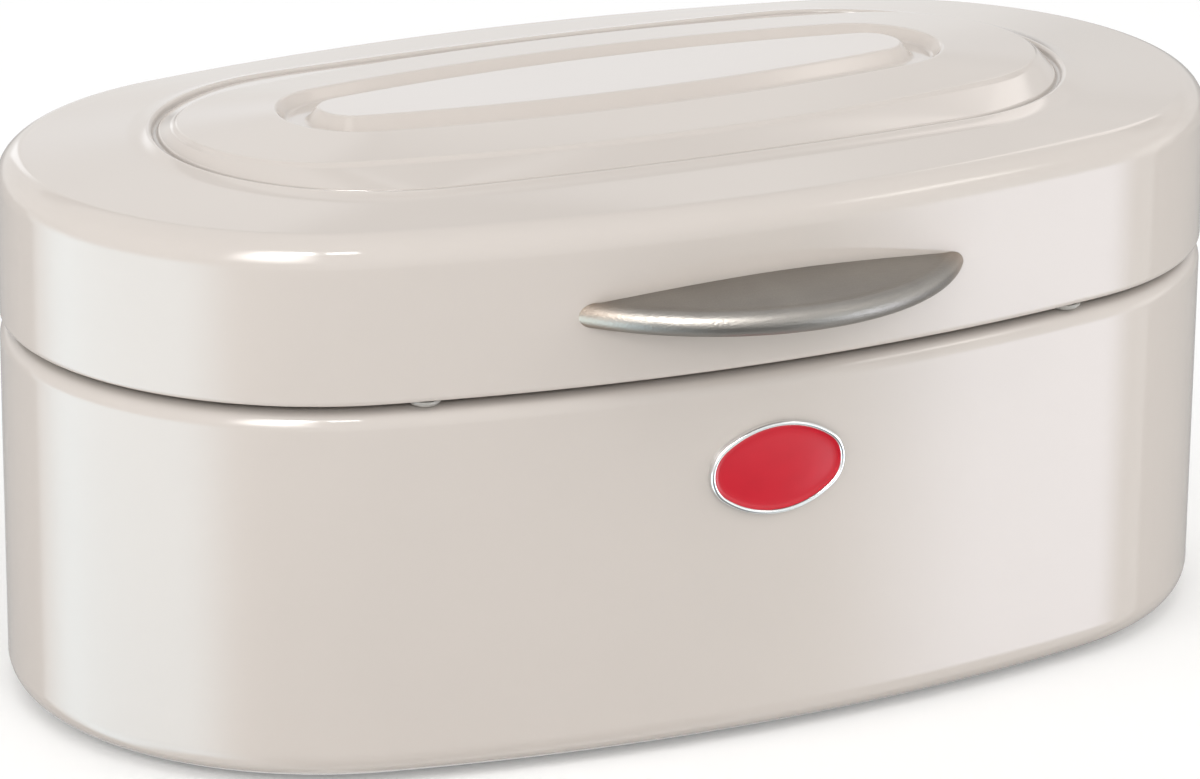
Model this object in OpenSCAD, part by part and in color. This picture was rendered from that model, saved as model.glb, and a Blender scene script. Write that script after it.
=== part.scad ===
// Oval bread box with a hinged lid.
// Pressed steel tub, inner collar, embossed lid on two rear hinges, crescent pull,
// oval front badge and rubber feet.
// X runs along the box, Y from front to rear, Z up. The origin lies on the surface that
// the feet stand on, at the middle of the footprint, pull and hinges included.

/* [Box] */
// Overall length of the oval
length = 340; // [320:2:380]
// Overall width of the oval
width = 188; // [176:2:208]
// Thickness of the pressed sheet
steel = 1; // [0.8:0.1:1.2]

/* [Base] */
// Height of the top face of the base
base_h = 101; // [85:1:130]
// Radius of the bottom edge
bottom_r = 8; // [5:0.5:12]
// Radius of the shoulder round the mouth
shoulder_r = 5; // [3:0.5:6]
// How far in from the outline the collar stands
collar_inset = 10; // [10:0.5:12]
// How far the collar rises above the base
collar_rise = 9; // [6:1:14]

/* [Lid] */
// Open seam between base and lid
seam = 1.4; // [1:0.1:2]
// Height of the lid from its lower edge to its rim
lid_rim_h = 43.6; // [36:0.2:60]
// Radius of the lid's top edge
lid_edge_r = 8; // [5:0.5:10]
// Slope of the flat band round the lid, over its whole width
band_rise = 0.75; // [0.5:0.05:1]
// How far in from the outline the first groove lies
groove_inset = 40.5; // [38:0.5:41]
// How far in from the ends of the oval the inner ring starts
ring_end_inset = 73; // [70:1:80]
// How far in from the sides of the oval the inner ring starts
ring_side_inset = 65; // [64.5:0.5:66]
// Furthest that the lid opens
open_angle = 100; // [90:1:105]

/* [Pull] */
// How far the pull stands out from the lid
pull_out = 25; // [20:0.5:30]
// Radius of the pull's front edge, seen from above
pull_r = 68.5; // [60:0.5:80]
// Thickness of the rounded rim of the pull
pull_rim = 6.6; // [5:0.2:8]
// Height of the middle of the rim above the lid's lower edge
pull_z = 19.1; // [14:0.1:26]
// Distance between the two fixing screws
pull_pitch = 64; // [50:1:72]

/* [Badge] */
// Length of the badge
badge_len = 39; // [30:1:50]
// Height of the badge
badge_wid = 25; // [18:1:30]
// Distance of the middle of the badge below the top of the base
badge_drop = 26.3; // [20:0.1:40]

/* [Hinges] */
// Distance from the middle of the box to the middle of each hinge
hinge_x = 55; // [40:1:64]
// Length of each hinge
hinge_len = 28; // [24:1:36]
// Distance of the hinge pin behind the rear of the box
hinge_out = 3.2; // [2.6:0.1:4]
// Outer radius of the hinge knuckles
knuckle_r = 3; // [2.6:0.1:3.2]
// Diameter of the hinge pins
pin_d = 3; // [2:0.5:3]

/* [Vents and feet] */
// Number of holes in the row of rear vents
vents = 9; // [3:2:11]
// Diameter of a vent hole
vent_d = 4; // [3:0.5:5]
// Distance of the row of vents below the top of the base
vent_drop = 43; // [30:1:60]
// Diameter of the feet
foot_d = 16; // [12:1:20]
// Height of the feet under the base
foot_h = 1.5; // [1:0.25:4]

/* [Hidden] */
$fn = 96;
side_fn = 240;
bend_fn = 64;
hair = 0.02;
tall = 400;
half_len = length / 2;
half_wid = width / 2;
// Sides of the right triangles that set how round the ovals are
box_tri = [9, 40];
ring_tri = [11, 60];
badge_tri = [3, 4];
side_c = side_centre(half_len, half_wid, box_tri);
side_r = half_wid + side_c;
bend_r = 0.25;
fold_r = bend_r + steel;
// Directions in a profile, as whole-sided triangles: a steep flank, a gentle lip
// and the start of the crown
steep = [0.8, 0.6];
gentle = [0.6, 0.8];
crown_dir = [16, 63];

// How far the flat plates reach into the sweeps that carry them
lap = 0.5;
// Length of the bars that cut holes
drill = 20;

// floor
floor_panel_inset = 34;
floor_step = 2 * bend_r + steel;
floor_edge = floor_panel_inset + floor_step;
floor_z = foot_h + floor_step;

// collar
collar_depth = 11;
collar_gap = 1.1;
hem_len = 6;

// lid
lid_z = base_h + seam;
lid_curl_r = 0.75 + steel;
lid_flange = collar_inset - collar_gap;
lid_rim_z = lid_z + lid_rim_h;
band_z = lid_rim_z + band_rise;
// first groove: soft lip, tight groove, steep flank, then the crown of the plateau
lip_r = 6.5;
groove_r = 1;
flank_len = 7;
plateau_r = 2.5;
crown_r = 67.5;
lip_inset = groove_inset - (lip_r + groove_r) * gentle[0];
flank_foot = [-groove_inset, groove_z()] - groove_r * steep;
flank_top = flank_foot + flank_len * [-steep[1], steep[0]];
plateau_c = flank_top - plateau_r * steep;
crown_c = plateau_c - (crown_r - plateau_r) * crown_dir / norm(crown_dir);
crown_z = crown_c[1] + crown_r;
crown_inset = -crown_c[0];
// inner ring: lip, groove, flank up to the panel
ring_half_len = half_len - ring_end_inset;
ring_half_wid = half_wid - ring_side_inset;
ring_lip_r = 4.5;
ring_groove_r = 2.5;
panel_flank = 3.5;
panel_r = 1.5;
ring_c = [0, crown_z - ring_lip_r] + (ring_lip_r + ring_groove_r) * [-steep[0], steep[1]];
panel_foot = ring_c - ring_groove_r * steep;
panel_top = panel_foot + panel_flank * [-steep[1], steep[0]];
panel_c = panel_top - panel_r * steep;
panel_z = panel_c[1] + panel_r;

// pull
pull_y = pull_out + half_wid - pull_r;
pull_mid = lid_z + pull_z;
bead_r = pull_rim / 2;
plate_top = 2.7;
plate_under = 0.3;
boss_r = 3;
boss_drop = 0.5;
boss_len = 9;
screw_d = 3;
screw_head_d = 6;
screw_head_h = 2.2;
screw_len = 11;
screw_play = 0.2;
screw_slot = 0.8;
seat_play = 0.5;
bore_end = 0.3;
backing_t = 1.2;
backing_len = 84;
backing_wid = 12;
screw_seat = 3;

// badge
badge_z = base_h - badge_drop;
badge_t = 1.8;
badge_back = 0.6;
badge_rim = 1.8;
enamel_t = 0.8;
stud_d = 2.6;
stud_x = 10;
stud_len = 4;
clip_d = 8;
clip_t = 0.8;

// hinges
leaf_t = 1.2;
hinge_y = half_wid + hinge_out;
hinge_z = base_h + seam / 2;
leaf_h = 20;
leaf_gap = 2.5;
arm_lo = 1.2;
arm_hi = 2.8;
knuckle_gap = 0.3;
lower_knuckle = 9;
pin_play = 0.06;
pin_head_r = 2.4;
pin_head = 1;
lug_len = 5.6;
lug_t = 1.6;
// The lug meets the lower leaf when it points this far round from level.
lug_angle = 135 - open_angle;
rivet_d = 3;
rivet_head_r = 2.8;
rivet_head = 1.3;
rivet_pitch = 1.6;
rivet_rise = 8;

// bumpers
bumper_d = 8.4;
bumper_x = 93;
bumper_inset = bumper_d / 2 + 0.5;
bumper_play = 0.1;

// vents and feet
vent_pitch = 11;
foot_x = 85;
foot_inset = 21;
foot_chamfer = 0.4;
foot_stem_d = 5;
foot_plug_d = 8;
foot_plug_h = 1.4;

// How far the middle of the oval lies behind the middle of the footprint, which runs
// from the pull to the lugs of the hinges
setback = (pull_out - hinge_out - lug_len) / 2;

paint = [0.86, 0.83, 0.79];
satin = [0.62, 0.60, 0.57];
zinc = [0.72, 0.73, 0.74];
enamel = [0.78, 0.08, 0.14];
silicone = [0.86, 0.86, 0.84];
rubber = [0.16, 0.16, 0.17];

// ---------- the oval ----------
// An oval is four arcs that meet smoothly. The line through the centres of two
// neighbouring arcs is the long side of a right triangle with whole sides, so the
// centres of the arcs fall on plain numbers.

function end_c(a, b, tri) = (a - b) * tri[0] / (tri[0] + tri[1] - norm(tri));
function side_centre(a, b, tri) = (a - b) * tri[1] / (tri[0] + tri[1] - norm(tri));
function end_radius(a, b, tri) = a - end_c(a, b, tri);
function side_radius(a, b, tri) = b + side_centre(a, b, tri);

// Sector of a side arc, from the centre of that arc
module side_sector(r, tri) {
  d = tri * ceil((r + 60) / tri[1]);
  polygon([[0, 0], d, [-d[0], d[1]]]);
}

// Sector of an end arc, from the centre of that arc
module end_sector(r, tri) {
  d = tri * ceil((r + 20) / tri[1]);
  far = d[0] + 2 * d[1];
  polygon([[0, 0], d, [far, d[1]], [far, -d[1]], [d[0], -d[1]]]);
}

// Sweeps a profile round an oval. In the profile, x is the distance outwards from the
// outline and y is the height.
module oval_sweep(a, b, tri = box_tri) {
  side = side_radius(a, b, tri);
  end = end_radius(a, b, tri);
  for (turn = [0, 180])
    rotate([0, 0, turn]) {
      translate([0, -side_centre(a, b, tri), 0])
        intersection() {
          rotate_extrude($fn = side_fn)
            translate([side, 0])
              children();
          linear_extrude(tall)
            side_sector(side, tri);
        }
      translate([end_c(a, b, tri), 0, 0])
        intersection() {
          rotate_extrude()
            translate([end, 0])
              children();
          linear_extrude(tall)
            end_sector(end, tri);
        }
    }
}

// The oval as a flat shape
module oval(a, b, tri = box_tri) {
  c = end_c(a, b, tri);
  d = tri * ceil((b + 20) / tri[1]);
  intersection() {
    translate([0, side_centre(a, b, tri)])
      circle(side_radius(a, b, tri), $fn = side_fn);
    translate([0, -side_centre(a, b, tri)])
      circle(side_radius(a, b, tri), $fn = side_fn);
    polygon([
      [c, 0], [c + d[0], d[1]], [-c - d[0], d[1]],
      [-c, 0], [-c - d[0], -d[1]], [c + d[0], -d[1]]
    ]);
  }
  for (turn = [0, 180])
    rotate([0, 0, turn])
      translate([c, 0])
        intersection() {
          circle(end_radius(a, b, tri));
          end_sector(end_radius(a, b, tri), tri);
        }
}

// Flat oval plate between two heights
module oval_plate(a, b, z, t, tri = box_tri) {
  translate([0, 0, z])
    linear_extrude(t)
      oval(a, b, tri);
}

// ---------- pressed sheet ----------
// Bent strip of a profile, between two directions seen from the centre of the bend
module bend(x, z, r_in, r_out, d1, d2) {
  k1 = ceil(r_out / norm(d1)) + 1;
  k2 = ceil(r_out / norm(d2)) + 1;
  translate([x, z])
    intersection() {
      difference() {
        circle(r_out, $fn = bend_fn);
        circle(r_in, $fn = bend_fn);
      }
      polygon([[0, 0], d1 * k1, d1 * k1 + d2 * k2, d2 * k2]);
    }
}

// Upright strip of a profile, outer face at x
module upright(x, z1, z2) {
  translate([x - steel, z1])
    square([steel, z2 - z1]);
}

// Level or gently sloping strip of a profile, given by its top face
module level(x1, z1, x2, z2) {
  polygon([[x1, z1], [x2, z2], [x2, z2 - steel], [x1, z1 - steel]]);
}

// Flank of a profile between two points of its top face, whose normal is n
module flank(p, q, n) {
  polygon([p, q, q - steel * n, p - steel * n]);
}

// ---------- arcs of the front and rear walls ----------
// Curved slab that lies on a side wall, from one distance outwards to another
module wall_slab(out1, out2, z, h) {
  translate([0, -side_c, z])
    difference() {
      cylinder(r = side_r + out2, h = h, $fn = side_fn);
      translate([0, 0, -h / 2])
        cylinder(r = side_r + out1, h = 2 * h, $fn = side_fn);
    }
}

// Round bar along X, through y and z
module x_bar(r, x, len, y, z) {
  translate([x, y, z])
    rotate([0, 90, 0])
      cylinder(r = r, h = len);
}

// Round bar along Y, towards the rear
module y_bar(r, x, y, len, z) {
  translate([x, y, z])
    rotate([-90, 0, 0])
      cylinder(r = r, h = len);
}

// Places a child on the rear wall, its Z axis pointing out of the wall, at a height
// and at an angle round the side arc
module on_rear(angle, z) {
  translate([0, -side_c, z])
    rotate([0, 0, -angle])
      translate([0, side_r, 0])
        rotate([-90, 0, 0])
          children();
}

// ---------- base ----------
module base_profile() {
  top = base_h - shoulder_r;
  bend(-bottom_r, foot_h + bottom_r, bottom_r - steel, bottom_r, [1, 0], [0, -1]);
  upright(0, foot_h + bottom_r, top);
  bend(-shoulder_r, top, shoulder_r - steel, shoulder_r, [1, 0], [0, 1]);
  level(-collar_inset, base_h, -shoulder_r, base_h);
  level(-floor_panel_inset, foot_h + steel, -bottom_r, foot_h + steel);
  bend(-floor_panel_inset, foot_h + fold_r, bend_r, fold_r, [-1, 0], [0, -1]);
  bend(-floor_edge, foot_h + fold_r, bend_r, fold_r, [1, 0], [0, 1]);
  level(-floor_edge - 2 * lap, floor_z + steel, -floor_edge, floor_z + steel);
}

module base_shell() {
  color(paint)
    difference() {
      union() {
        oval_sweep(half_len, half_wid)
          base_profile();
        oval_plate(half_len - floor_edge - lap, half_wid - floor_edge - lap, floor_z, steel);
      }
      for (i = [0 : vents - 1])
        y_bar(vent_d / 2, (i - (vents - 1) / 2) * vent_pitch, half_wid / 2, half_wid, base_h - vent_drop);
      at_feet()
        cylinder(d = foot_stem_d, h = 4 * foot_h);
      for (s = [-1, 1])
        y_bar(stud_d / 2 + hair, s * stud_x, -half_wid - drill / 2, drill, badge_z);
      for (s = [-1, 1])
        rivet_holes(s, -1);
    }
}

// Collar round the mouth, with its top edge folded inwards
module base_collar() {
  top = base_h + collar_rise - steel;
  color(paint)
    oval_sweep(half_len, half_wid) {
      union() {
        upright(-collar_inset, base_h - collar_depth, top);
        upright(-collar_inset - steel, top - hem_len, top);
        bend(-collar_inset - steel, top, 0, steel, [1, 0], [0, 1]);
        bend(-collar_inset - steel, top, 0, steel, [-1, 0], [0, 1]);
      }
    }
}

// ---------- feet ----------
function foot_y() = sqrt(pow(side_r - foot_inset, 2) - foot_x * foot_x) - side_c;

module at_foot(sx, sy) {
  translate([sx * foot_x, sy * foot_y(), 0])
    children();
}

module at_feet() {
  for (sx = [-1, 1])
    for (sy = [-1, 1])
      at_foot(sx, sy)
        children();
}

// Push-in foot: pad, stem through the floor and plug above it
module foot(sx, sy) {
  color(rubber)
    at_foot(sx, sy) {
      cylinder(r1 = foot_d / 2 - foot_chamfer, r2 = foot_d / 2, h = foot_chamfer);
      translate([0, 0, foot_chamfer])
        cylinder(d = foot_d, h = foot_h - foot_chamfer);
      translate([0, 0, foot_h])
        cylinder(d = foot_stem_d, h = steel);
      translate([0, 0, foot_h + steel])
        cylinder(r1 = foot_plug_d / 2, r2 = foot_stem_d / 2, h = foot_plug_h);
    }
}

module foot_front_left() {
  foot(-1, -1);
}

module foot_front_right() {
  foot(1, -1);
}

module foot_rear_left() {
  foot(-1, 1);
}

module foot_rear_right() {
  foot(1, 1);
}

// ---------- badge ----------
// Upright oval bar through the front wall
module badge_bar(inset) {
  translate([0, 0, badge_z])
    rotate([90, 0, 0])
      linear_extrude(2 * half_wid)
        oval(badge_len / 2 - inset, badge_wid / 2 - inset, badge_tri);
}

module front_slab(out1, out2, z, h) {
  rotate([0, 0, 180])
    wall_slab(out1, out2, z, h);
}

// Silver frame with a tray for the enamel and two studs through the wall
module badge_frame() {
  low = badge_z - badge_wid;
  color(zinc) {
    intersection() {
      front_slab(0, badge_back, low, 2 * badge_wid);
      badge_bar(0);
    }
    intersection() {
      front_slab(badge_back, badge_t, low, 2 * badge_wid);
      difference() {
        badge_bar(0);
        badge_bar(badge_rim);
      }
    }
    for (s = [-1, 1])
      y_bar(stud_d / 2, s * stud_x, -half_wid - badge_back / 2, stud_len, badge_z);
  }
}

module badge_enamel() {
  color(enamel)
    intersection() {
      front_slab(badge_back, badge_back + enamel_t, badge_z - badge_wid, 2 * badge_wid);
      badge_bar(badge_rim);
    }
}

// Push-on clips that hold the studs inside the wall
module badge_clips() {
  color(zinc)
    for (s = [-1, 1])
      intersection() {
        front_slab(-steel - clip_t, -steel, badge_z - clip_d, 2 * clip_d);
        difference() {
          y_bar(clip_d / 2, s * stud_x, -half_wid, half_wid, badge_z);
          y_bar(stud_d / 2 + hair, s * stud_x, -half_wid, half_wid, badge_z);
        }
      }
}

// ---------- hinges ----------
function arc_angle(x) = asin(x / side_r);
function leaf_x() = hinge_x - hinge_len / 2;

// The part of a curved leaf between two heights, over a length along X
module leaf(x, len, z, h) {
  intersection() {
    wall_slab(0, leaf_t, z, h);
    translate([x, half_wid / 2, z])
      cube([len, half_wid, h]);
  }
}

// Flat arm from the wall out to the pin
module arm(x, len, z) {
  difference() {
    translate([x, half_wid - drill, z])
      cube([len, hinge_out + drill, arm_hi - arm_lo]);
    translate([0, -side_c, z - drill / 2])
      cylinder(r = side_r, h = drill, $fn = side_fn);
  }
}

module rivet_holes(s, up) {
  for (i = [-1, 1])
    on_rear(s * (arc_angle(hinge_x) + i * rivet_pitch / 2), rivet_z(up))
      translate([0, 0, -drill / 2])
        cylinder(d = rivet_d + 2 * hair, h = drill);
}

function rivet_z(up) = hinge_z + up * (leaf_gap + leaf_h / 2 + rivet_rise / 4);

// Lower half of a hinge: leaf on the base and two outer knuckles
module hinge_lower(s) {
  z = hinge_z - leaf_gap - leaf_h;
  ends = [leaf_x(), leaf_x() + hinge_len - lower_knuckle];
  color(zinc)
    mirror([s < 0 ? 1 : 0, 0, 0])
      difference() {
        union() {
          leaf(leaf_x(), hinge_len, z, leaf_h);
          for (x = ends) {
            leaf(x, lower_knuckle, hinge_z - leaf_gap, leaf_gap - arm_lo);
            arm(x, lower_knuckle, hinge_z - arm_hi);
            x_bar(knuckle_r, x, lower_knuckle, hinge_y, hinge_z);
          }
        }
        x_bar(pin_d / 2 + hair, leaf_x() - drill / 2, hinge_len + drill, hinge_y, hinge_z);
        rivet_holes(1, -1);
      }
}

// Upper half of a hinge: leaf on the lid, middle knuckle and the lug that stops the lid
module hinge_upper(s) {
  x = leaf_x() + lower_knuckle + knuckle_gap;
  len = hinge_len - 2 * lower_knuckle - 2 * knuckle_gap;
  color(zinc)
    mirror([s < 0 ? 1 : 0, 0, 0])
      difference() {
        union() {
          leaf(leaf_x(), hinge_len, hinge_z + leaf_gap, leaf_h);
          leaf(x, len, hinge_z + arm_lo, leaf_gap - arm_lo);
          arm(x, len, hinge_z + arm_lo);
          x_bar(knuckle_r, x, len, hinge_y, hinge_z);
          translate([x, hinge_y, hinge_z])
            rotate([-lug_angle, 0, 0])
              translate([0, 0, -lug_t / 2])
                cube([len, lug_len, lug_t]);
        }
        x_bar(pin_d / 2 + pin_play, leaf_x() - drill / 2, hinge_len + drill, hinge_y, hinge_z);
        rivet_holes(1, 1);
      }
}

// Pin with a head at its outer end and a peened end inboard
module hinge_pin(s) {
  color(zinc)
    mirror([s < 0 ? 1 : 0, 0, 0]) {
      x_bar(pin_d / 2, leaf_x(), hinge_len, hinge_y, hinge_z);
      x_bar(pin_head_r, leaf_x() + hinge_len, pin_head, hinge_y, hinge_z);
      x_bar(pin_head_r, leaf_x() - pin_head / 2, pin_head / 2, hinge_y, hinge_z);
    }
}

// Rivets of both hinges through a leaf and the wall
module rivets(up) {
  color(zinc)
    for (s = [-1, 1])
      for (i = [-1, 1])
        on_rear(s * (arc_angle(hinge_x) + i * rivet_pitch / 2), rivet_z(up)) {
          translate([0, 0, -steel - hair])
            cylinder(d = rivet_d, h = steel + hair + leaf_t);
          translate([0, 0, leaf_t])
            cylinder(r1 = rivet_head_r, r2 = rivet_d / 2, h = rivet_head);
          translate([0, 0, -steel - hair - rivet_head])
            cylinder(r1 = rivet_d / 2, r2 = rivet_head_r, h = rivet_head);
        }
}

module hinge_lower_left() {
  hinge_lower(-1);
}

module hinge_lower_right() {
  hinge_lower(1);
}

module hinge_upper_left() {
  hinge_upper(-1);
}

module hinge_upper_right() {
  hinge_upper(1);
}

module hinge_pin_left() {
  hinge_pin(-1);
}

module hinge_pin_right() {
  hinge_pin(1);
}

module base_rivets() {
  rivets(-1);
}

module lid_rivets() {
  rivets(1);
}

// ---------- lid ----------
function groove_z() = band_z - lip_r + (lip_r + groove_r) * gentle[1];

// From the flange at the seam, up the wall and over the band to the first groove,
// then up the flank and over the crown of the plateau
module lid_profile() {
  level(-lid_flange, lid_z + steel, -lid_curl_r, lid_z + steel);
  bend(-lid_curl_r, lid_z + lid_curl_r, lid_curl_r - steel, lid_curl_r, [1, 0], [0, -1]);
  upright(0, lid_z + lid_curl_r, lid_rim_z - lid_edge_r);
  bend(-lid_edge_r, lid_rim_z - lid_edge_r, lid_edge_r - steel, lid_edge_r, [1, 0], [0, 1]);
  level(-lip_inset, band_z, -lid_edge_r, lid_rim_z);
  bend(-lip_inset, band_z - lip_r, lip_r - steel, lip_r, [0, 1], [-gentle[0], gentle[1]]);
  groove(-groove_inset, groove_z(), groove_r, [gentle[0], -gentle[1]]);
  flank(flank_foot, flank_top, steep);
  bend(plateau_c[0], plateau_c[1], plateau_r - steel, plateau_r, steep, crown_dir);
  bend(crown_c[0], crown_c[1], crown_r - steel, crown_r, [0, 1], crown_dir);
  level(-crown_inset - lap, crown_z, -crown_inset, crown_z);
}

// The inner pressed ring, from its outer edge in to the raised panel
module ring_profile() {
  level(0, crown_z, lap, crown_z);
  bend(0, crown_z - ring_lip_r, ring_lip_r - steel, ring_lip_r, [0, 1], [-steep[0], steep[1]]);
  groove(ring_c[0], ring_c[1], ring_groove_r, [steep[0], -steep[1]]);
  flank(panel_foot, panel_top, steep);
  bend(panel_c[0], panel_c[1], panel_r - steel, panel_r, steep, [0, 1]);
  level(panel_c[0] - lap, panel_z, panel_c[0], panel_z);
}

// Bottom of a groove, between its outer side and a steep inner flank
module groove(x, z, r, outer) {
  bend(x, z, r, r + steel, outer, [0, -1]);
  bend(x, z, r, r + steel, [0, -1], -steep);
}

module lid_shell() {
  crown_in = crown_inset + lap / 2;
  panel_in = lap / 2 - panel_c[0];
  color(paint)
    difference() {
      union() {
        oval_sweep(half_len, half_wid)
          lid_profile();
        translate([0, 0, crown_z - steel])
          linear_extrude(steel)
            difference() {
              oval(half_len - crown_in, half_wid - crown_in);
              oval(ring_half_len + lap / 2, ring_half_wid + lap / 2, ring_tri);
            }
        oval_sweep(ring_half_len, ring_half_wid, ring_tri)
          ring_profile();
        oval_plate(ring_half_len - panel_in, ring_half_wid - panel_in, panel_z - steel, steel, ring_tri);
      }
      for (s = [-1, 1])
        y_bar(screw_d / 2 + screw_play, s * pull_pitch / 2, -half_wid - drill / 2, drill, screw_z());
      for (s = [-1, 1])
        rivet_holes(s, 1);
    }
}

// ---------- pull ----------
function screw_z() = pull_mid - boss_drop;
function seat_y() = -half_wid + screw_seat;

// Crescent lip with a rounded rim, hollow behind for the fingers
module pull() {
  color(satin)
    difference() {
      union() {
        translate([0, -pull_y, pull_mid])
          rotate_extrude()
            translate([pull_r - bead_r, 0])
              circle(bead_r);
        translate([0, -pull_y, pull_mid - plate_under])
          cylinder(r = pull_r - bead_r, h = plate_top + plate_under);
        for (s = [-1, 1])
          y_bar(boss_r, s * pull_pitch / 2, -half_wid - boss_len, boss_len + drill / 4, screw_z());
      }
      rotate([0, 0, 180])
        translate([0, -side_c, pull_mid - drill])
          cylinder(r = side_r, h = 2 * drill, $fn = side_fn);
      for (s = [-1, 1])
        y_bar(screw_d / 2 + hair, s * pull_pitch / 2, seat_y() - screw_len - bore_end, drill, screw_z());
    }
}

// Curved strip behind the lid wall that spreads the load of the screws
module pull_backing() {
  run = backing_len / 2 - backing_wid / 2;
  color(zinc)
    difference() {
      intersection() {
        front_slab(-steel - backing_t, -steel - 2 * hair, screw_z() - backing_wid, 2 * backing_wid);
        union() {
          translate([-run, -half_wid, screw_z() - backing_wid / 2])
            cube([2 * run, half_wid, backing_wid]);
          for (s = [-1, 1])
            y_bar(backing_wid / 2, s * run, -half_wid, half_wid, screw_z());
        }
      }
      for (s = [-1, 1]) {
        y_bar(screw_d / 2 + screw_play, s * pull_pitch / 2, -half_wid - drill / 2, drill, screw_z());
        y_bar(screw_head_d / 2 + seat_play, s * pull_pitch / 2, seat_y(), drill, screw_z());
      }
    }
}

module pull_screws() {
  color(zinc)
    for (s = [-1, 1]) {
      y_bar(screw_d / 2, s * pull_pitch / 2, seat_y() - screw_len, screw_len, screw_z());
      difference() {
        y_bar(screw_head_d / 2, s * pull_pitch / 2, seat_y(), screw_head_h, screw_z());
        translate([s * pull_pitch / 2, seat_y() + screw_head_h, screw_z()])
          cube([2 * screw_head_d, screw_head_h, screw_slot], center = true);
      }
    }
}

// ---------- bumpers ----------
// Clear stop under the lid's flange, rounded off towards the base
module bumper(s) {
  y = sqrt(pow(side_r - bumper_inset, 2) - bumper_x * bumper_x) - side_c;
  h = seam - bumper_play;
  color(silicone)
    translate([s * bumper_x, -y, base_h + bumper_play]) {
      cylinder(r1 = bumper_d / 2 - h / 2, r2 = bumper_d / 2, h = h / 2);
      translate([0, 0, h / 2])
        cylinder(d = bumper_d, h = h / 2);
    }
}

module bumper_left() {
  bumper(-1);
}

module bumper_right() {
  bumper(1);
}

// Each piece is drawn round the middle of the oval and then moved back, so that the
// origin is the middle of the footprint.
module set_back() {
  translate([0, setback, 0])
    children();
}

set_back() base_shell();
set_back() base_collar();
set_back() foot_front_left();
set_back() foot_front_right();
set_back() foot_rear_left();
set_back() foot_rear_right();
set_back() badge_frame();
set_back() badge_enamel();
set_back() badge_clips();
set_back() hinge_lower_left();
set_back() hinge_lower_right();
set_back() hinge_pin_left();
set_back() hinge_pin_right();
set_back() base_rivets();
set_back() lid_shell();
set_back() hinge_upper_left();
set_back() hinge_upper_right();
set_back() lid_rivets();
set_back() pull();
set_back() pull_backing();
set_back() pull_screws();
set_back() bumper_left();
set_back() bumper_right();
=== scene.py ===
"""Looks and stage for an oval bread box with a hinged lid."""

import math

import bpy
from mathutils import Matrix, Vector


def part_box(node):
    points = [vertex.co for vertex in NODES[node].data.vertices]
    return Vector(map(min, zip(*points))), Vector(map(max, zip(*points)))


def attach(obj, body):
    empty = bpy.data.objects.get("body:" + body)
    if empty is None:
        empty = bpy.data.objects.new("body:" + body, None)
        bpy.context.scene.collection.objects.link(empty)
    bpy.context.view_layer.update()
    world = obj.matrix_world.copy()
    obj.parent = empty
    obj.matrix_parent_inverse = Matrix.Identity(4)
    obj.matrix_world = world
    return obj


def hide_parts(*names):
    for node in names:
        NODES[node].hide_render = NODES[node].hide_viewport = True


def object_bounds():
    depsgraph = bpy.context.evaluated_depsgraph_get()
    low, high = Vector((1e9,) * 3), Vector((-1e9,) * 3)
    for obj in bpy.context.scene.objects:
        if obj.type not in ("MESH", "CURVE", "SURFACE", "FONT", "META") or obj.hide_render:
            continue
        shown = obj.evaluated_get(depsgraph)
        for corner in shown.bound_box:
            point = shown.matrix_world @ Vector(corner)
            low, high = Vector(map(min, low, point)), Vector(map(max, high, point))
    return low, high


bl_info = {
    "name": "Bread box looks",
    "version": (1, 0, 0),
    "blender": (4, 5, 0),
    "location": "View3D > Sidebar > Bread box",
    "description": "Finishes the parts of a bread box and sets its stage",
    "category": "Object",
}

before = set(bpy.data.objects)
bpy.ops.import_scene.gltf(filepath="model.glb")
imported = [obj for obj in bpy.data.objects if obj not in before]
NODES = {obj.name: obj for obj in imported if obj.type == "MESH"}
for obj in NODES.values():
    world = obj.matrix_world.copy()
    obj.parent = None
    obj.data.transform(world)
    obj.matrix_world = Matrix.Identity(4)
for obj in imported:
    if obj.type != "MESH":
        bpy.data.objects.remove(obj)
CAD_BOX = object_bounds()

HINGE_NODES = (
    "hinge_lower_left", "hinge_lower_right", "hinge_upper_left", "hinge_upper_right",
    "hinge_pin_left", "hinge_pin_right", "base_rivets", "lid_rivets",
    "pull_backing", "pull_screws", "badge_clips",
)
FEET = ("foot_front_left", "foot_front_right", "foot_rear_left", "foot_rear_right")
BUMPERS = ("bumper_left", "bumper_right")

# The right triangle of each oval, its short and its long side.
BOX_TRIANGLE = (9, 40)
BEAD_TRIANGLE = (5, 60)
RING_TRIANGLE = (11, 60)
BADGE_TRIANGLE = (3, 4)

# Stations on a quarter of an oval: along its side, from one oval's turn to the next, round its end.
SIDE_STATIONS = 26
TURN_STATIONS = 8
END_STATIONS = 54
# Steps of a bend: at least, for each radian, and for each radian and metre of radius.
BEND_STEPS = 4
STEPS_PER_RADIAN = 5.0
STEPS_PER_METRE = 700.0
# Points of a profile that lie nearer together than this are one.
SAME_POINT = 1e-8

# How far the parts of the lid lean outwards from level, in degrees.
LEANS = {
    "band": 7.0,
    "apron": 18.0,
    "wall": 63.0,
    "flank": 14.0,
    "step": 45.0,
    "crown": 5.5,
    "lip": 3.5,
    "side": 53.0,
}

# The drill for the vents: how far in front of the rear wall's face it starts, its length, and how
# far round a vent its edge is looked for, as a share of its radius.
DRILL_START = 0.01
DRILL_LENGTH = 0.02
VENT_EDGE = 1.2

# The section of the pull: the angle where its round rim starts under the plate and how far the
# rim turns, in degrees, and how near to the middle of its curve the plate reaches.
RIM_START = 185
RIM_TURN = 279
PLATE_BACK = 0.036
RIM_STEPS = 53
PLATE_STEPS = 12
# How far the crescent runs to each side before the wall cuts it, in degrees and in steps.
PULL_HALF_TURN = 62
PULL_HALF_STEPS = 64
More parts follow.
